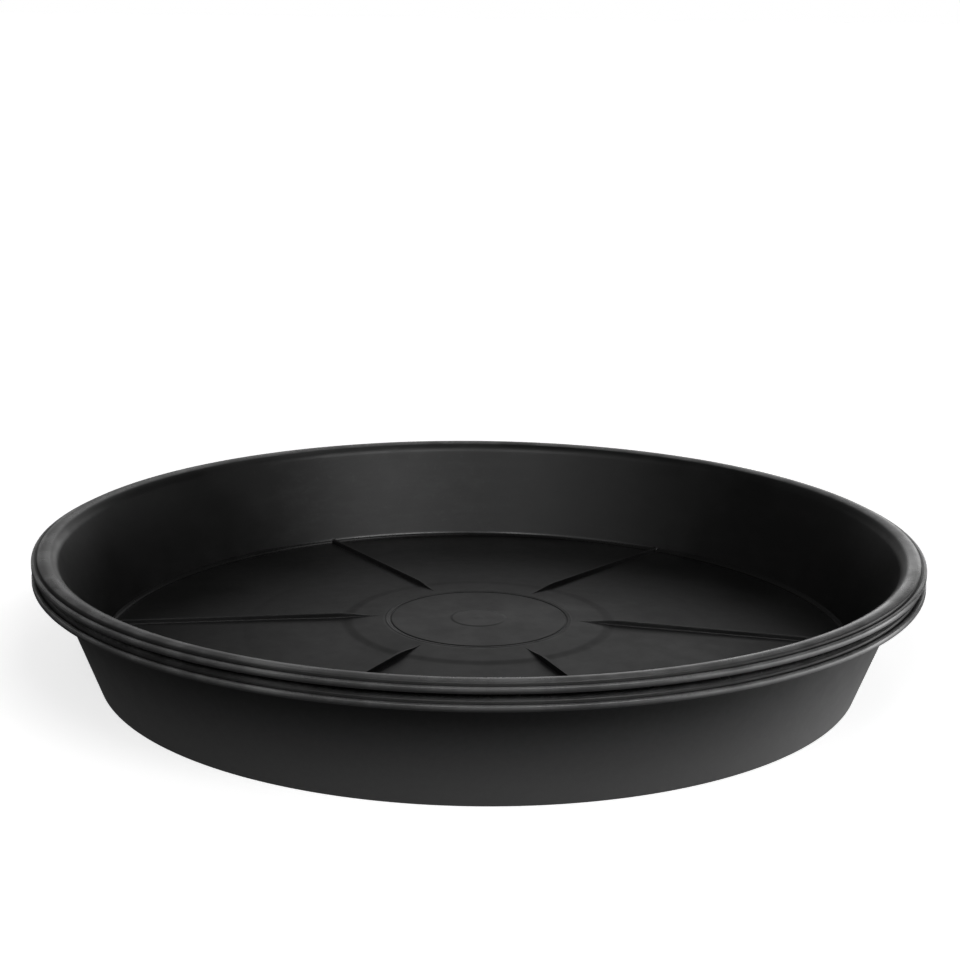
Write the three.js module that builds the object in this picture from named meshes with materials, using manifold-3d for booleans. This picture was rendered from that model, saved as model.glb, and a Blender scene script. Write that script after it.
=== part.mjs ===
// A pair of round plant saucers that nest in each other.
// Each saucer is one thin-walled moulding in black polypropylene: a floor that falls gently
// from its centre to its edge, six radial ribs, a wall that flares outwards and a rolled rim
// with a lip hanging from it.
// Units are millimetres and +Z is up. The origin is on the ground, on the saucers' axis.

import * as THREE from 'three';
import { mergeVertices } from 'three/addons/utils/BufferGeometryUtils.js';
import Module from 'manifold-3d';

const wasm = await Module();
wasm.setup();

// Overall sizes of one saucer.
const RIM_RADIUS = 254;
const HEIGHT = 66.5;
const THICKNESS = 2.5;

// Outer wall: a cone that stands on the foot and leans outwards.
const FOOT_RADIUS = 219;
const WALL_LEAN = THREE.MathUtils.degToRad(20.5);

// Foot: the wall's lower end, which reaches the ground below the floor.
const FOOT_WIDTH = 2.4;
const FOOT_BEVEL = 0.6;

// Floor: a level centre, then a cone that falls towards the wall.
const FLOOR_CENTRE_HEIGHT = 16;
const FLOOR_LEVEL_RADIUS = 56;
const FLOOR_FALL = THREE.MathUtils.degToRad(3.6);
const FLOOR_FILLET = 4;

// Rim: the wall rolls outwards over the crest, and the roll ends above a groove and a bead.
const CREST_RADIUS = 247.4;
const ROLL_RADIUS = 9;
const SHOULDER_RADIUS = 6;
const SHOULDER_ANGLE = THREE.MathUtils.degToRad(30);
const GROOVE_RADIUS = 251.1;
const GROOVE_DEPTH = 2.5;
const BEAD_DROP = 2.3;
const BEAD_CORNER = 0.9;
const LIP_BOTTOM = 61;
const LIP_THICKNESS = 2.4;
const LIP_CORNER = 0.4;

// Ribs: six straight bars on the floor that taper to a point towards the centre.
const RIB_COUNT = 6;
const RIB_FIRST_ANGLE = THREE.MathUtils.degToRad(-3);
const RIB_WIDTH = 2.2;
const RIB_HEIGHT = 2.6;
const RIB_TIP_RADIUS = 57;
const RIB_FULL_RADIUS = 84;
const RIB_ROOT = 1.2;

// Facets of the turned surfaces and of the arcs in their section.
const TURN_SEGMENTS = 72;
const ROLL_STEPS = 6;
const SHOULDER_STEPS = 3;
const FILLET_STEPS = 4;
const CORNER_STEPS = 2;

// The upper saucer's foot stands on the lower one's ribs, with this much play.
const STACK_GAP = 0.3;

const wallSlope = Math.tan(WALL_LEAN);
const outerWallRadius = (z) => FOOT_RADIUS + wallSlope * z;
const innerWallRadius = (z) => outerWallRadius(z) - THICKNESS / Math.cos(WALL_LEAN);

// Height of the floor's upper face at a distance from the axis.
function floorHeight(radius) {
  const run = Math.max(0, radius - FLOOR_LEVEL_RADIUS);
  return FLOOR_CENTRE_HEIGHT - Math.tan(FLOOR_FALL) * run;
}

// Points of an arc in the section; angles are measured from +X, which is away from the axis.
function arc(centreX, centreZ, radius, from, to, steps) {
  const points = [];
  for (let i = 0; i <= steps; i += 1) {
    const angle = from + ((to - from) * i) / steps;
    points.push([centreX + radius * Math.cos(angle), centreZ + radius * Math.sin(angle)]);
  }
  return points;
}

// Arc that joins the floor's upper face to the wall's inner face.
function floorFillet() {
  const wallOffset = FLOOR_FILLET / Math.cos(WALL_LEAN);
  const floorOffset = FLOOR_FILLET / Math.cos(FLOOR_FALL);
  const fall = Math.tan(FLOOR_FALL);
  const floorAtAxis = FLOOR_CENTRE_HEIGHT + fall * FLOOR_LEVEL_RADIUS + floorOffset;
  const wallAtGround = innerWallRadius(0) - wallOffset;
  const centreX = (wallAtGround + wallSlope * floorAtAxis) / (1 + wallSlope * fall);
  const centreZ = floorAtAxis - fall * centreX;
  const start = -Math.PI / 2 - FLOOR_FALL;
  return arc(centreX, centreZ, FLOOR_FILLET, start, -WALL_LEAN, FILLET_STEPS);
}

// Upper side of the rim, from the wall's inner face over the crest to the lip's lower edge.
function rimTop() {
  const rollStart = Math.PI - WALL_LEAN;
  const up = Math.PI / 2;
  const beadTop = HEIGHT - BEAD_DROP;
  const outside = RIM_RADIUS - BEAD_CORNER;
  const shoulder = arc(
    CREST_RADIUS,
    HEIGHT - SHOULDER_RADIUS,
    SHOULDER_RADIUS,
    up,
    up - SHOULDER_ANGLE,
    SHOULDER_STEPS,
  );
  return [
    ...arc(CREST_RADIUS, HEIGHT - ROLL_RADIUS, ROLL_RADIUS, rollStart, up, ROLL_STEPS),
    ...shoulder.slice(1),
    [GROOVE_RADIUS, HEIGHT - GROOVE_DEPTH],
    ...arc(outside, beadTop - BEAD_CORNER, BEAD_CORNER, up, 0, CORNER_STEPS),
    ...arc(RIM_RADIUS - LIP_CORNER, LIP_BOTTOM + LIP_CORNER, LIP_CORNER, 0, -up, CORNER_STEPS),
  ];
}

// Under side of the rim, from the lip's lower edge back to the wall's outer face.
function rimUnderside() {
  const innerRoll = ROLL_RADIUS - THICKNESS;
  const lipInside = RIM_RADIUS - LIP_THICKNESS;
  const underRoll = HEIGHT - ROLL_RADIUS + innerRoll;
  const lipRoot = HEIGHT - GROOVE_DEPTH - LIP_CORNER - THICKNESS / 2;
  return [
    [lipInside, LIP_BOTTOM],
    [lipInside, lipRoot],
    [CREST_RADIUS + LIP_THICKNESS / 2, underRoll - LIP_CORNER],
    ...arc(
      CREST_RADIUS,
      HEIGHT - ROLL_RADIUS,
      innerRoll,
      Math.PI / 2,
      Math.PI - WALL_LEAN,
      ROLL_STEPS,
    ),
  ];
}

// Foot ring and the floor's lower face, from the ground back to the axis.
function footAndUnderside() {
  const footInside = FOOT_RADIUS - FOOT_WIDTH;
  return [
    [outerWallRadius(FOOT_BEVEL), FOOT_BEVEL],
    [FOOT_RADIUS - FOOT_BEVEL, 0],
    [footInside, 0],
    [footInside, floorHeight(footInside) - THICKNESS],
    [FLOOR_LEVEL_RADIUS, FLOOR_CENTRE_HEIGHT - THICKNESS],
    [0, FLOOR_CENTRE_HEIGHT - THICKNESS],
  ];
}

// A section turned about the Z axis, as a geometry with +Z up. Sections are listed clockwise,
// and reversing them turns the faces outwards.
function turned(section) {
  const points = section.map(([x, z]) => new THREE.Vector2(x, z)).reverse();
  const geometry = new THREE.LatheGeometry(points, TURN_SEGMENTS);
  geometry.rotateX(Math.PI / 2);
  return geometry;
}

// A closed geometry as a manifold solid, with its faces turned outwards.
function solid(geometry) {
  const bare = geometry.index ? geometry.clone() : geometry;
  bare.deleteAttribute('normal');
  bare.deleteAttribute('uv');
  const merged = mergeVertices(bare, 1e-4);
  return new wasm.Manifold(
    new wasm.Mesh({
      numProp: 3,
      vertProperties: new Float32Array(merged.attributes.position.array),
      triVerts: new Uint32Array(merged.index.array),
    }),
  );
}

function toGeometry(manifold) {
  const mesh = manifold.getMesh();
  const geometry = new THREE.BufferGeometry();
  geometry.setAttribute('position', new THREE.BufferAttribute(mesh.vertProperties, 3));
  geometry.setIndex(new THREE.BufferAttribute(mesh.triVerts, 1));
  geometry.computeVertexNormals();
  return geometry;
}

// The bowl without its ribs: floor, wall, rim and foot in one closed section.
function bowl() {
  const section = [
    [0, FLOOR_CENTRE_HEIGHT],
    [FLOOR_LEVEL_RADIUS, FLOOR_CENTRE_HEIGHT],
    ...floorFillet(),
    ...rimTop(),
    ...rimUnderside(),
    ...footAndUnderside(),
  ];
  return solid(turned(section));
}

// Ring that holds the ribs' height: its top rises from the floor at the tips and then
// stays one rib height above it, and its bottom is inside the floor.
function ribBand() {
  const end = innerWallRadius(floorHeight(FOOT_RADIUS) + RIB_HEIGHT) + THICKNESS / 2;
  const section = [
    [RIB_TIP_RADIUS, floorHeight(RIB_TIP_RADIUS) - RIB_ROOT],
    [RIB_TIP_RADIUS, floorHeight(RIB_TIP_RADIUS)],
    [RIB_FULL_RADIUS, floorHeight(RIB_FULL_RADIUS) + RIB_HEIGHT],
    [end, floorHeight(end) + RIB_HEIGHT],
    [end, floorHeight(end) - RIB_ROOT],
  ];
  section.push(section[0]);
  return solid(turned(section));
}

// Plan of one rib as a tall prism, pointed at its inner end.
function ribPrism(angle) {
  const half = RIB_WIDTH / 2;
  const plan = new THREE.Shape([
    new THREE.Vector2(RIB_TIP_RADIUS, 0),
    new THREE.Vector2(RIB_FULL_RADIUS, -half),
    new THREE.Vector2(RIM_RADIUS, -half),
    new THREE.Vector2(RIM_RADIUS, half),
    new THREE.Vector2(RIB_FULL_RADIUS, half),
  ]);
  const geometry = new THREE.ExtrudeGeometry(plan, { depth: HEIGHT, bevelEnabled: false });
  geometry.rotateZ(angle);
  return solid(geometry);
}

function saucerGeometry() {
  const band = ribBand();
  let saucer = bowl();
  for (let i = 0; i < RIB_COUNT; i += 1) {
    const angle = RIB_FIRST_ANGLE + (i * 2 * Math.PI) / RIB_COUNT;
    saucer = saucer.add(band.intersect(ribPrism(angle)));
  }
  return toGeometry(saucer);
}

function plastic() {
  return new THREE.MeshStandardMaterial({ color: 0x1c1c1d, roughness: 0.42, metalness: 0 });
}

function saucer(name, geometry, height) {
  const mesh = new THREE.Mesh(geometry, plastic());
  mesh.name = name;
  mesh.position.z = height;
  return mesh;
}

// Height of one saucer above the next in the stack: foot on rib, plus the play.
const footInside = FOOT_RADIUS - FOOT_WIDTH;
const stackPitch = floorHeight(footInside) + RIB_HEIGHT + STACK_GAP;

const geometry = saucerGeometry();
const pair = new THREE.Group();
pair.add(saucer('lower_saucer', geometry, 0));
pair.add(saucer('upper_saucer', geometry, stackPitch));

export default pair;
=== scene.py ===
"""Looks of a pair of nesting plant saucers, moulded in satin black polypropylene.

Each saucer is one finely meshed surface of revolution with six ribs on its floor. It stands for
the faceted CAD node of the same saucer and has the same section. Lengths are in metres.
"""

import math

import bpy
import numpy as np
from mathutils import Euler, Matrix, Vector


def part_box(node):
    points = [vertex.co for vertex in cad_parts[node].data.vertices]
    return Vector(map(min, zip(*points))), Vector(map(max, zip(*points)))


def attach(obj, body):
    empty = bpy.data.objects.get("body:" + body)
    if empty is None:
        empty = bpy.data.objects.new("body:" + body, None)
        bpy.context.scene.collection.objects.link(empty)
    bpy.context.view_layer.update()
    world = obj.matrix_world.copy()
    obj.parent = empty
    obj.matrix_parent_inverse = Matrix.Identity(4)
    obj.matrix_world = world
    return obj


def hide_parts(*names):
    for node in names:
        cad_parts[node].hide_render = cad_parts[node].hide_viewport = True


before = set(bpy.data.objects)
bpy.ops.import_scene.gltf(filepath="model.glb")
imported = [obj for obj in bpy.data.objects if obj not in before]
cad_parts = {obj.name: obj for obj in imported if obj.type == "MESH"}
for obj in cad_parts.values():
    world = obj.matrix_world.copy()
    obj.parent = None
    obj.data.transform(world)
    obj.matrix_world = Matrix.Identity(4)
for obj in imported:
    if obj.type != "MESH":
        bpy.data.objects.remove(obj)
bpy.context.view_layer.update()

MM = 0.001
LOWER_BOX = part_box("lower_saucer")
UPPER_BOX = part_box("upper_saucer")

# Overall sizes, from the frame.
RIM_RADIUS = LOWER_BOX[1].x
HEIGHT = LOWER_BOX[1].z
STACK_PITCH = UPPER_BOX[0].z

# Section of the moulding.
THICKNESS = 2.5 * MM
FOOT_RADIUS = 219 * MM
FOOT_WIDTH = 2.4 * MM
FOOT_CORNER = 0.6 * MM
WALL_LEAN = math.radians(20.5)
FLOOR_CENTRE_HEIGHT = 16 * MM
FLOOR_LEVEL_RADIUS = 56 * MM
FLOOR_FALL = math.radians(3.6)
FLOOR_FILLET = 4 * MM
CREST_RADIUS = 247.4 * MM
ROLL_RADIUS = 9 * MM
SHOULDER_RADIUS = 6 * MM
SHOULDER_ANGLE = math.radians(30)
GROOVE_RADIUS = 251.1 * MM
GROOVE_DEPTH = 2.45 * MM
BEAD_DROP = 2.3 * MM
BEAD_CORNER = 0.9 * MM
LIP_BOTTOM = 61 * MM
LIP_THICKNESS = 2.4 * MM
LIP_CORNER = 0.4 * MM

# Marks on the floor: an engraved circle with a fine ridge beside it, the raised gate mark at the
# centre and two faint rings, where the moulding's thickness changes.
CIRCLE_RADIUS = 51.6 * MM
CIRCLE_WIDTH = 0.5 * MM
CIRCLE_DEPTH = 0.38 * MM
RIDGE_OFFSET = 2.3 * MM
RIDGE_HEIGHT = 0.14 * MM
GATE_RADIUS = 15.8 * MM
GATE_EDGE = 0.9 * MM
GATE_STEP = 0.25 * MM
NUB_RADIUS = 2.2 * MM
NUB_HEIGHT = 0.3 * MM
STEP_RADIUS = 76 * MM
STEP_WIDTH = 3 * MM
STEP_DROP = 0.2 * MM
STEP_RETURN = 60 * MM
RIPPLE_RADIUS = 137 * MM
RIPPLE_WIDTH = 2.5 * MM
RIPPLE_DEPTH = 0.05 * MM

# Ribs.
RIB_COUNT = 6
RIB_FIRST_ANGLE = math.radians(-3)
RIB_WIDTH = 2.2 * MM
RIB_HEIGHT = 2.6 * MM
RIB_EDGE = 0.35 * MM
RIB_TIP_RADIUS = 57 * MM
RIB_FULL_RADIUS = 84 * MM
RIB_TIP_SHARE = 0.25

# Columns of the mesh between one rib and the next.
BETWEEN_COLUMNS = 48

# Places on the section that the material's marks follow.
FLOOR_EDGE = (216 * MM, 222 * MM)
FILLET_BAND = (216.4 * MM, 219.2 * MM, 0.7 * MM)
RING_BAND = (75 * MM, 78 * MM, 3 * MM)
CREST_BAND = (CREST_RADIUS - 3 * MM, CREST_RADIUS + 2 * MM, 2 * MM)
BEAD_BAND = (RIM_RADIUS - 1.2 * MM, RIM_RADIUS, 0.8 * MM)
RIM_START = (HEIGHT - 5 * MM, HEIGHT - 3 * MM)
SCUFFED_TURN = (1.70, 2.05, 0.3)

# Colours of the plastic.
INSIDE_DARK = (0.002, 0.002, 0.002, 1)
INSIDE_PALE = (0.005, 0.005, 0.005, 1)
# Outer wall: painted shade, darkest just under the lip, and painted light, paler towards the foot.
OUTSIDE_PAINTED_SHADE_UNDER_LIP = (0.020, 0.020, 0.021, 1)
OUTSIDE_PAINTED_LIGHT_AT_FOOT = (0.125, 0.125, 0.125, 1)
SCUFFED = (0.05, 0.05, 0.05, 1)
# Painted highlight: pale colour on the lines along the rim's crest and bead.
PAINTED_RIM_HIGHLIGHT = (0.22, 0.22, 0.22, 1)
# Share of the painted light at the foot, and of the plastic's own random mottle.
PAINTED_LIGHT_FOOT_SHARE = 0.85
MOTTLE_SHARE = 0.15

# Roughness of the plastic inside, and what each kind of surface adds to it or takes off.
ROUGHNESS = (0.35, 0.41)
PATCHES_ADD = 0.05
SCUFFS_ADD = 0.05
RING_ADD = 0.06
OUTSIDE_ADD = 0.14
# Roughness taken off along the rim's painted highlight lines.
RIM_LINES_OFF = 0.22
FILLET_OFF = 0.16

# Camera: where the viewer stands, as seen from the middle of the lower saucer's foot.
CAMERA_DISTANCE = 4.6 * RIM_RADIUS
CAMERA_ELEVATION = math.radians(18.98)
CAMERA_PITCH = math.radians(13.83)
CAMERA_ROLL = math.radians(0.65)
CAMERA_LENS = 74.1

# Studio: how much the dome and the floor glow, and soft boxes as (azimuth, elevation, half width,
# half height, width of the soft edge, radiance), in degrees. Azimuth 0 is behind the viewer and
# 90 is to the right.
DOME_LIGHT = 0.06
FLOOR_GLOW = 0.68
SOFT_BOXES = (
    (2, 40, 58, 18, 8, 0.7),
    (34, 41, 18, 8, 3, 5.6),
    (-14, 42, 6, 8, 2, 5.0),
    (120, 72, 25, 8, 4, 1.5),
    (90, -12, 38, 14, 8, 3.0),
    (138, -35, 30, 14, 8, 0.4),
    (162, 5, 17, 10, 5, 1.3),
    (-160, 5, 20, 10, 6, 0.3),
    (175, 27, 14, 11, 8, 0.44),
)


def wall_radius(z):
    """Radius of the wall's outer face at a height above the foot."""
    return FOOT_RADIUS + math.tan(WALL_LEAN) * z


def inner_wall_radius(z):
    return wall_radius(z) - THICKNESS / math.cos(WALL_LEAN)


def floor_height(radius):
    """Height of the floor's upper face at a distance from the axis, without ribs or marks."""
    return FLOOR_CENTRE_HEIGHT - math.tan(FLOOR_FALL) * max(0.0, radius - FLOOR_LEVEL_RADIUS)


def smooth(value, low, high):
    """0 below low, 1 above high and an even S-curve between them."""
    t = min(1.0, max(0.0, (value - low) / (high - low)))
    return t * t * (3 - 2 * t)


def bump(value, centre, width):
    """A bell curve of height 1."""
    return math.exp(-(((value - centre) / width) ** 2))


def arc(x, z, radius, start, end, steps):
    """Points of an arc in the section, with its angles measured from the outward direction."""
    angles = np.linspace(start, end, steps + 1)
    return [(x + radius * math.cos(a), z + radius * math.sin(a)) for a in angles]


def floor_marks(radius):
    """Height of the engraved circle, gate mark and faint rings above the plain floor."""
    height = -CIRCLE_DEPTH * bump(radius, CIRCLE_RADIUS, CIRCLE_WIDTH)
    height += RIDGE_HEIGHT * bump(radius, CIRCLE_RADIUS + RIDGE_OFFSET, CIRCLE_WIDTH)
    height += GATE_STEP * (1 - smooth(radius, GATE_RADIUS - GATE_EDGE, GATE_RADIUS + GATE_EDGE))
    height += NUB_HEIGHT * bump(radius, 0, NUB_RADIUS)
    height -= STEP_DROP * smooth(radius, STEP_RADIUS - STEP_WIDTH, STEP_RADIUS + STEP_WIDTH)
    height += STEP_DROP * smooth(radius, STEP_RADIUS + STEP_WIDTH, STEP_RADIUS + STEP_RETURN)
    height -= RIPPLE_DEPTH * bump(radius, RIPPLE_RADIUS, RIPPLE_WIDTH)
    return height


def floor_radii():
    """Radii of the floor's rings, close together where the floor has a mark or a bend."""
    end = fillet_centre()[0] - FLOOR_FILLET * math.sin(FLOOR_FALL)
    radii = set(np.linspace(0.6 * MM, end, 70))
    for centre, width in (
        (CIRCLE_RADIUS, 3 * CIRCLE_WIDTH),
        (CIRCLE_RADIUS + RIDGE_OFFSET, 2 * CIRCLE_WIDTH),
        (GATE_RADIUS, 2 * GATE_EDGE),
        (STEP_RADIUS, 2 * STEP_WIDTH),
        (RIPPLE_RADIUS, 2 * RIPPLE_WIDTH),
        (FLOOR_LEVEL_RADIUS, MM),
        (RIB_TIP_RADIUS + 5 * MM, 5 * MM),
    ):
        radii.update(np.linspace(centre - width, centre + width, 15))
    return sorted(radii)


def fillet_centre():
    """Centre of the arc that joins the floor to the wall."""
    fall = math.tan(FLOOR_FALL)
    lean = math.tan(WALL_LEAN)
    floor_line = floor_height(0) + fall * FLOOR_LEVEL_RADIUS + FLOOR_FILLET / math.cos(FLOOR_FALL)
    wall_line = inner_wall_radius(0) - FLOOR_FILLET / math.cos(WALL_LEAN)
    x = (wall_line + lean * floor_line) / (1 + lean * fall)
    return x, floor_line - fall * x


def rim_top():
    """From the inner face of the wall over the crest to the lip's lower edge."""
    up = math.pi / 2
    roll_z = HEIGHT - ROLL_RADIUS
    bead_x = RIM_RADIUS - BEAD_CORNER
    bead_z = HEIGHT - BEAD_DROP - BEAD_CORNER
    roll = arc(CREST_RADIUS, roll_z, ROLL_RADIUS, math.pi - WALL_LEAN, up, 24)
    shoulder = arc(
        CREST_RADIUS, HEIGHT - SHOULDER_RADIUS, SHOULDER_RADIUS, up, up - SHOULDER_ANGLE, 10
    )
    return roll + shoulder[1:] + groove(shoulder[-1]) + arc(bead_x, bead_z, BEAD_CORNER, up, 0, 8)


def groove(shoulder_end):
    """Drop from the shoulder into the groove, and the bead's level top beside it."""
    bottom = HEIGHT - GROOVE_DEPTH
    bead_top = HEIGHT - BEAD_DROP
    x, z = shoulder_end
    run = GROOVE_RADIUS - x
    return [
        (x + 0.35 * run, z - 0.25 * run),
        (x + 0.6 * run, z - 0.8 * run),
        (x + 0.75 * run, z - 1.6 * run),
        (GROOVE_RADIUS - 0.1 * run, bottom + 0.3 * run),
        (GROOVE_RADIUS, bottom),
        (GROOVE_RADIUS + 0.4 * run, bottom - 0.05 * MM),
        (GROOVE_RADIUS + run, bottom + 0.4 * (bead_top - bottom)),
        (GROOVE_RADIUS + 1.7 * run, bead_top - 0.02 * MM),
    ]


def rim_underside():
    """From the lip's lower edge to the top of the wall's outer face."""
    up = math.pi / 2
    inner_roll = ROLL_RADIUS - THICKNESS
    roll_z = HEIGHT - ROLL_RADIUS
    lip_inside = RIM_RADIUS - LIP_THICKNESS
    roof = roll_z + inner_roll
    corner = RIM_RADIUS - LIP_CORNER
    lower_edge = arc(corner, LIP_BOTTOM + LIP_CORNER, LIP_CORNER, 0, -up, 5)
    inner_edge = arc(lip_inside + LIP_CORNER, LIP_BOTTOM + LIP_CORNER, LIP_CORNER, -up, -2 * up, 5)
    root = [(lip_inside, roof - 1.9 * MM), (lip_inside - 0.3 * MM, roof - 1.2 * MM)]
    roll = arc(CREST_RADIUS, roll_z, inner_roll, up - 0.3, math.pi - WALL_LEAN, 20)
    return lower_edge + inner_edge + root + roll


def foot_and_underside():
    """Down the wall's outer face, under the foot and along the floor's lower face."""
    up = math.pi / 2
    corner_z = FOOT_CORNER
    outer = wall_radius(corner_z) - FOOT_CORNER / math.cos(WALL_LEAN)
    inside = FOOT_RADIUS - FOOT_WIDTH
    top = floor_height(inside) - THICKNESS
    wall = [(wall_radius(z), z) for z in np.linspace(LIP_BOTTOM - 6 * MM, 2 * MM, 14)]
    outer_corner = arc(outer, corner_z, FOOT_CORNER, -WALL_LEAN, -up, 6)
    inner_corner = arc(inside + FOOT_CORNER, corner_z, FOOT_CORNER, -up, -2 * up, 6)
    inner_corner += [(inside, top - 0.8 * MM), (inside - 0.25 * MM, top - 0.2 * MM)]
    radii = np.linspace(inside - 1.2 * MM, 0.6 * MM, 40)
    return wall + outer_corner + inner_corner + [(r, floor_height(r) - THICKNESS) for r in radii]


def section():
    """The closed section as two lists of (radius, height): with ribs on it, and the rest."""
    x, z = fillet_centre()
    fillet = arc(x, z, FLOOR_FILLET, -math.pi / 2 - FLOOR_FALL, -WALL_LEAN, 12)
    floor = [(r, floor_height(r) + floor_marks(r)) for r in floor_radii()]
    wall_start = fillet[-1][1]
    wall_end = HEIGHT - ROLL_RADIUS + ROLL_RADIUS * math.sin(WALL_LEAN)
    low = [(inner_wall_radius(h), h) for h in np.linspace(wall_start, wall_start + 4 * MM, 9)]
    high = [(inner_wall_radius(h), h) for h in np.linspace(wall_start + 6 * MM, wall_end, 16)]
    ribbed = floor[:-1] + fillet + low[1:]
    return ribbed, high[:-1] + rim_top() + rim_underside() + foot_and_underside()


def rib_columns():
    """Offsets across one rib, in half-widths, close together at its two edges."""
    side = [0.45, 0.68, 0.78, 0.86, 0.93, 1.0, 1.06, 1.12, 1.2, 1.32, 1.6, 2.2, 3.4, 6.0]
    return [-s for s in reversed(side)] + [0.0] + side


def rib_side(offset):
    """Share of the rib's height at an offset in half-widths: level top, steep rounded sides."""
    edge = RIB_EDGE / RIB_WIDTH * 2
    return 1 - smooth(abs(offset), 1 - edge, 1 + edge * 0.6)


def ring_angles(radius):
    """Angles of a ring's vertices: fixed distances beside each rib, even steps between ribs."""
    offsets = rib_columns()
    share = RIB_TIP_SHARE + (1 - RIB_TIP_SHARE) * smooth(radius, RIB_TIP_RADIUS, RIB_FULL_RADIUS)
    unit = share * RIB_WIDTH / 2 / max(radius, RIB_TIP_RADIUS)
    sector = 2 * math.pi / RIB_COUNT
    between = np.linspace(offsets[-1] * unit, sector + offsets[0] * unit, BETWEEN_COLUMNS)[1:-1]
    one = [offset * unit for offset in offsets] + list(between)
    return [RIB_FIRST_ANGLE + k * sector + a for k in range(RIB_COUNT) for a in one]


def rib_shares():
    """Share of the rib's height at each column of a ring."""
    one = [rib_side(offset) for offset in rib_columns()] + [0.0] * (BETWEEN_COLUMNS - 2)
    return np.array(one * RIB_COUNT)


def outer_shares(rings):
    """For each vertex, 1 on the outer wall, foot and underside, and 0 on the inside and rim."""
    outside = len(rim_underside()) + len(foot_and_underside())
    inside = len(rings) - outside
    count = len(rings[0])
    return [0.0] * (1 + inside * count) + [1.0] * (outside * count + 1)


def saucer_rings():
    """Vertices of the saucer, ring by ring, as one array per ring."""
    ribbed, plain = section()
    shares = rib_shares()
    rings = []
    for index, (radius, height) in enumerate(ribbed + plain):
        angles = np.array(ring_angles(radius))
        heights = np.full(len(angles), height)
        if index < len(ribbed) and radius > RIB_TIP_RADIUS:
            ramp = smooth(radius, RIB_TIP_RADIUS, RIB_FULL_RADIUS)
            rise = floor_height(radius) + RIB_HEIGHT * ramp - height
            heights += shares * max(0.0, rise)
        rings.append(np.stack([radius * np.cos(angles), radius * np.sin(angles), heights], 1))
    return rings


def saucer_mesh():
    """One closed mesh: rings joined by quads, with a fan at the centre of each face."""
    rings = saucer_rings()
    count = len(rings[0])
    top = [0, 0, floor_height(0) + floor_marks(0)]
    bottom = [0, 0, floor_height(0) - THICKNESS]
    verts = np.concatenate([np.array([top]), *rings, np.array([bottom])])
    last = len(verts) - 1
    faces = []
    for j in range(count):
        k = (j + 1) % count
        faces.append((0, 1 + j, 1 + k))
        for i in range(len(rings) - 1):
            a = 1 + i * count
            b = a + count
            faces.append((a + j, b + j, b + k, a + k))
        a = 1 + (len(rings) - 1) * count
        faces.append((a + k, a + j, last))
    mesh = bpy.data.meshes.new("saucer")
    mesh.from_pydata(verts.tolist(), [], faces)
    mesh.validate()
    outer = mesh.attributes.new("outer_face", "FLOAT", "POINT")
    outer.data.foreach_set("value", outer_shares(rings))
    mesh.polygons.foreach_set("use_smooth", [True] * len(mesh.polygons))
    mesh.set_sharp_from_angle(angle=math.radians(50))
    mesh.update()
    return mesh


class Nodes:
    """Short calls for building a material's nodes."""

    def __init__(self, tree):
        self.tree = tree

    def add(self, kind, settings=None, **inputs):
        made = self.tree.nodes.new(kind)
        for name, value in (settings or {}).items():
            setattr(made, name, value)
        for name, value in inputs.items():
            self.put(made.inputs[name.replace("_", " ")], value)
        return made

    def put(self, socket, value):
        if isinstance(value, bpy.types.NodeSocket):
            self.tree.links.new(value, socket)
        else:
            socket.default_value = value

    def math(self, operation, first, second=0.0):
        made = self.add("ShaderNodeMath", {"operation": operation})
        self.put(made.inputs[0], first)
        self.put(made.inputs[1], second)
        return made.outputs[0]

    def noise(self, vector, scale, detail=3.0, roughness=0.5):
        made = self.add("ShaderNodeTexNoise", Scale=scale, Detail=detail, Roughness=roughness)
        self.put(made.inputs["Vector"], vector)
        return made.outputs["Fac"]

    def remap(self, value, low, high, to_low, to_high):
        made = self.add("ShaderNodeMapRange", {"interpolation_type": "SMOOTHSTEP"})
        for name, number in (
            ("Value", value),
            ("From Min", low),
            ("From Max", high),
            ("To Min", to_low),
            ("To Max", to_high),
        ):
            self.put(made.inputs[name], number)
        return made.outputs["Result"]

    def vector(self, x, y, z):
        made = self.add("ShaderNodeCombineXYZ")
        for socket, value in zip(made.inputs, (x, y, z)):
            self.put(socket, value)
        return made.outputs[0]

    def mix(self, share, first, second):
        made = self.add("ShaderNodeMix", {"data_type": "RGBA"})
        self.put(made.inputs["Factor"], share)
        self.put(made.inputs["A"], first)
        self.put(made.inputs["B"], second)
        return made.outputs["Result"]


def round_coordinates(n):
    """(position, distance from the axis, turn about the axis, height) of a point on a saucer."""
    position = n.add("ShaderNodeTexCoord").outputs["Object"]
    split = n.add("ShaderNodeSeparateXYZ", Vector=position)
    x, y, z = split.outputs
    flat = n.math("ADD", n.math("MULTIPLY", x, x), n.math("MULTIPLY", y, y))
    return position, n.math("SQRT", flat), n.math("ARCTAN2", y, x), z


def band(n, value, low, high, edge):
    """1 between low and high, with soft edges."""
    rise = n.remap(value, low - edge, low, 0.0, 1.0)
    fall = n.remap(value, high, high + edge, 1.0, 0.0)
    return n.math("MULTIPLY", rise, fall)


def rim_painted_highlight(n, position, radius, height):
    """Mask of painted highlight lines along the crest and the bead, broken up by soft noise."""
    crest = band(n, radius, *CREST_BAND)
    bead = band(n, radius, *BEAD_BAND)
    lines = n.math("ADD", n.math("MULTIPLY", crest, 0.8), n.math("MULTIPLY", bead, 0.9))
    on_rim = n.remap(height, *RIM_START, 0.0, 1.0)
    broken = n.remap(n.noise(position, 38.0, detail=6.0, roughness=0.6), 0.35, 0.65, 0.5, 1.0)
    return n.math("MULTIPLY", n.math("MULTIPLY", lines, on_rim), broken)


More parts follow.
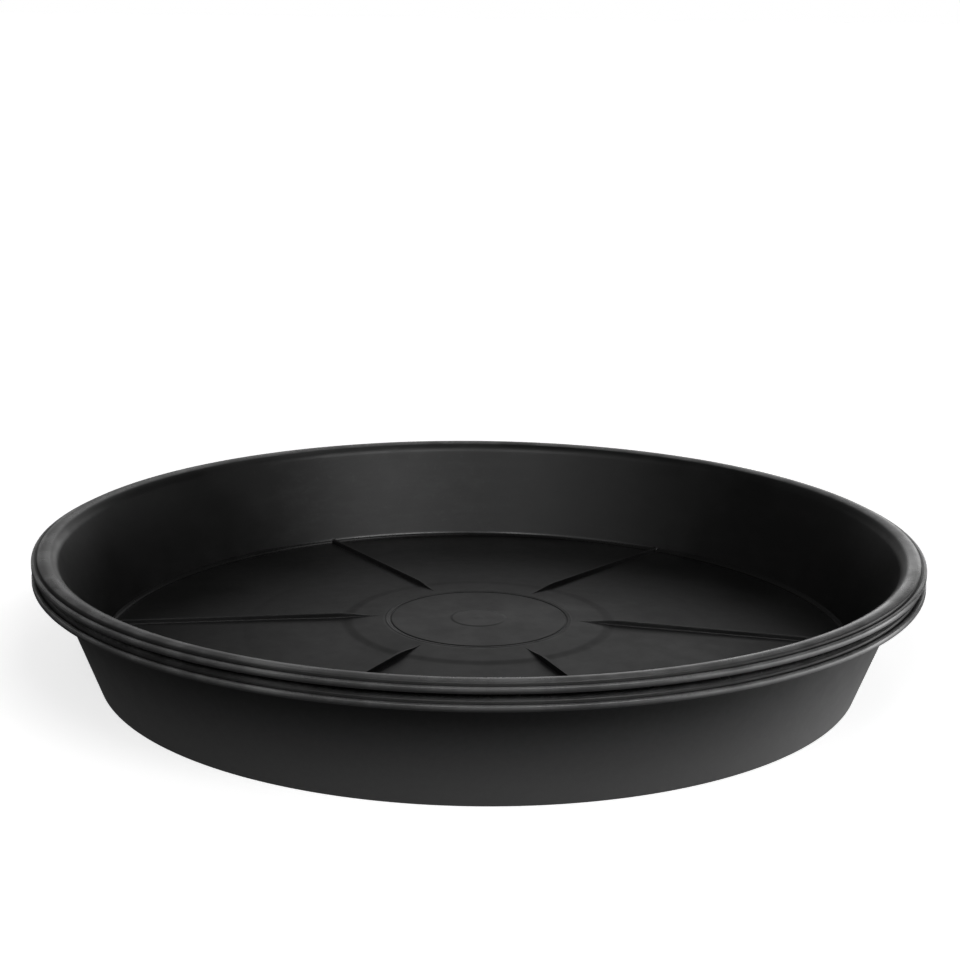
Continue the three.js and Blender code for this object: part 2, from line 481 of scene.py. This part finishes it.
def wall_scuffs(n, position, turn, height, on_wall):
    """Pale smudges that run round the inner wall, mostly in one place at the back."""
    around = n.vector(n.math("MULTIPLY", turn, 9.0), n.math("MULTIPLY", height, 110.0), 0.0)
    smudges = n.remap(n.noise(around, 1.0, detail=6.0, roughness=0.7), 0.42, 0.75, 0.0, 1.0)
    specks = n.remap(n.noise(position, 260.0, detail=2.0), 0.6, 0.75, 0.0, 0.6)
    place = band(n, turn, *SCUFFED_TURN)
    share = n.math("ADD", n.math("MULTIPLY", place, 0.8), 0.2)
    marks = n.math("ADD", smudges, specks)
    return n.math("MULTIPLY", n.math("MULTIPLY", marks, share), on_wall)


def black_plastic(name):
    """Satin black polypropylene, smooth inside and matt outside, with moulding marks, scuffs and
    painted highlight lines on the rim.

    The outer wall's colour holds painted shade: darkest just under the lip, paler towards its
    foot.
    """
    material = bpy.data.materials.new(name)
    material.use_nodes = True
    tree = material.node_tree
    tree.nodes.clear()
    n = Nodes(tree)
    position, radius, turn, height = round_coordinates(n)
    outer = n.add("ShaderNodeAttribute", {"attribute_name": "outer_face"}).outputs["Fac"]
    inner = n.math("SUBTRACT", 1.0, outer)

    clouds = n.noise(position, 16.0, detail=4.0, roughness=0.6)
    patches = n.noise(position, 75.0, detail=5.0, roughness=0.65)
    mottle = n.noise(position, 320.0, detail=3.0, roughness=0.6)
    grain = n.noise(position, 1500.0, detail=2.0)
    on_wall = n.math("MULTIPLY", n.remap(radius, *FLOOR_EDGE, 0.0, 1.0), inner)
    scuffs = wall_scuffs(n, position, turn, height, on_wall)
    # Mask of the painted highlight lines on the rim; it also lowers the roughness there.
    rim_highlight_lines = rim_painted_highlight(n, position, radius, height)
    ring = n.math("MULTIPLY", band(n, radius, *RING_BAND), inner)
    gate = n.math("MULTIPLY", n.remap(radius, GATE_RADIUS - MM, GATE_RADIUS, 1.0, 0.0), inner)
    fillet = n.math("MULTIPLY", band(n, radius, *FILLET_BAND), inner)

    rough = n.remap(clouds, 0.3, 0.7, *ROUGHNESS)
    rough = n.math("ADD", rough, n.remap(patches, 0.3, 0.7, 0.0, PATCHES_ADD))
    rough = n.math("ADD", rough, n.math("MULTIPLY", scuffs, SCUFFS_ADD))
    rough = n.math("ADD", rough, n.math("MULTIPLY", ring, RING_ADD))
    rough = n.math("ADD", rough, n.math("MULTIPLY", outer, OUTSIDE_ADD))
    rough = n.math("SUBTRACT", rough, n.math("MULTIPLY", rim_highlight_lines, RIM_LINES_OFF))
    rough = n.math("SUBTRACT", rough, n.math("MULTIPLY", fillet, FILLET_OFF))

    inside_share = n.remap(clouds, 0.4, 0.7, 0.0, 1.0)
    inside_colour = n.mix(inside_share, INSIDE_DARK, INSIDE_PALE)
    # Painted shade on the outer wall: darkest just under the lip, paler towards the foot where
    # more light falls; the mottle is the plastic's own random tone.
    painted_light_towards_foot = n.remap(height, 0.0, LIP_BOTTOM, PAINTED_LIGHT_FOOT_SHARE, 0.0)
    painted_light_and_mottle_share = n.math("ADD", painted_light_towards_foot, n.math("MULTIPLY", mottle, MOTTLE_SHARE))
    outside_colour_with_painted_shade = n.mix(painted_light_and_mottle_share, OUTSIDE_PAINTED_SHADE_UNDER_LIP, OUTSIDE_PAINTED_LIGHT_AT_FOOT)
    colour = n.mix(outer, inside_colour, outside_colour_with_painted_shade)
    colour = n.mix(n.math("MULTIPLY", scuffs, 0.25), colour, SCUFFED)
    colour = n.mix(n.math("MULTIPLY", gate, 0.15), colour, SCUFFED)
    # Painted highlight: pale colour along the rim's crest and bead.
    colour = n.mix(rim_highlight_lines, colour, PAINTED_RIM_HIGHLIGHT)

    fine = n.math("MULTIPLY", grain, 0.4)
    texture_height = n.math("ADD", fine, n.math("MULTIPLY", mottle, outer))
    texture = n.add("ShaderNodeBump", Strength=0.25, Distance=0.00008, Height=texture_height)
    shader = n.add("ShaderNodeBsdfPrincipled", IOR=1.49)
    n.put(shader.inputs["Base Color"], colour)
    n.put(shader.inputs["Roughness"], rough)
    n.put(shader.inputs["Normal"], texture.outputs[0])
    out = n.add("ShaderNodeOutputMaterial")
    n.put(out.inputs["Surface"], shader.outputs[0])
    return material


def place_saucer(mesh, name, node, body, slot, height):
    """A saucer that stands for its CAD node and moves with the node's body."""
    piece = bpy.data.objects.new(name, mesh)
    bpy.context.scene.collection.objects.link(piece)
    piece.data.materials.append(black_plastic(slot))
    piece.location.z = height
    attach(piece, body)
    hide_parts(node)
    return piece


def make_camera():
    data = bpy.data.cameras.new("camera")
    data.lens = CAMERA_LENS
    data.sensor_width = 36
    camera = bpy.data.objects.new("camera", data)
    bpy.context.scene.collection.objects.link(camera)
    camera.location = CAMERA_DISTANCE * Vector(
        (0, -math.cos(CAMERA_ELEVATION), math.sin(CAMERA_ELEVATION))
    )
    look = Euler((math.pi / 2 - CAMERA_PITCH, 0, 0)).to_matrix()
    camera.rotation_euler = (look @ Matrix.Rotation(CAMERA_ROLL, 3, "Z")).to_euler()
    bpy.context.scene.camera = camera


def make_floor():
    """A wide light table: a pale floor that glows a little, so that shadows on it stay soft."""
    side = 30
    mesh = bpy.data.meshes.new("floor")
    corners = [(-side, -side, 0), (side, -side, 0), (side, side, 0), (-side, side, 0)]
    mesh.from_pydata(corners, [], [(0, 1, 2, 3)])
    floor = bpy.data.objects.new("floor", mesh)
    bpy.context.scene.collection.objects.link(floor)
    floor.location.z = -0.05 * MM
    material = bpy.data.materials.new("pale_floor")
    material.use_nodes = True
    shader = material.node_tree.nodes["Principled BSDF"]
    shader.inputs["Base Color"].default_value = (0.9, 0.9, 0.9, 1)
    shader.inputs["Roughness"].default_value = 0.9
    shader.inputs["Specular IOR Level"].default_value = 0.0
    shader.inputs["Emission Color"].default_value = (1, 1, 1, 1)
    shader.inputs["Emission Strength"].default_value = FLOOR_GLOW
    mesh.materials.append(material)
    floor.visible_glossy = False
    floor.visible_diffuse = False


def soft_box(n, azimuth_now, elevation_now, box):
    """Light of one soft box of the studio in the direction that is looked in."""
    azimuth, elevation, half_width, half_height, edge, radiance = box
    turned = n.math("SUBTRACT", azimuth_now, azimuth)
    wrapped = n.add("ShaderNodeMath", {"operation": "WRAP"})
    for socket, value in zip(wrapped.inputs, (turned, 180.0, -180.0)):
        n.put(socket, value)
    across = n.math("ABSOLUTE", wrapped.outputs[0])
    along = n.math("ABSOLUTE", n.math("SUBTRACT", elevation_now, elevation))
    share = n.math(
        "MULTIPLY",
        n.remap(across, half_width - edge, half_width + edge, 1.0, 0.0),
        n.remap(along, half_height - edge, half_height + edge, 1.0, 0.0),
    )
    return n.math("MULTIPLY", share, radiance)


def make_studio():
    """Soft boxes on a dim dome round the saucers. The camera sees even white in its place."""
    world = bpy.data.worlds.new("studio")
    bpy.context.scene.world = world
    world.use_nodes = True
    n = Nodes(world.node_tree)
    background = world.node_tree.nodes["Background"]
    direction = n.add("ShaderNodeTexCoord").outputs["Generated"]
    x, y, z = n.add("ShaderNodeSeparateXYZ", Vector=direction).outputs
    to_degrees = math.degrees(1)
    azimuth = n.math("MULTIPLY", n.math("ARCTAN2", x, n.math("MULTIPLY", y, -1.0)), to_degrees)
    elevation = n.math("MULTIPLY", n.math("ARCSINE", z), to_degrees)
    level = DOME_LIGHT
    for box in SOFT_BOXES:
        level = n.math("ADD", soft_box(n, azimuth, elevation, box), level)
    seen = n.add("ShaderNodeLightPath").outputs["Is Camera Ray"]
    studio = n.vector(level, level, level)
    n.put(background.inputs["Color"], n.mix(seen, studio, (1, 1, 1, 1)))
    background.inputs["Strength"].default_value = 1.0


make_camera()
saucer = saucer_mesh()
place_saucer(saucer, "lower_saucer_moulding", "lower_saucer", "lower", "lower_plastic", 0)
place_saucer(
    saucer.copy(), "upper_saucer_moulding", "upper_saucer", "upper", "upper_plastic", STACK_PITCH
)
make_floor()
make_studio()
bpy.context.scene.view_settings.view_transform = "Standard"
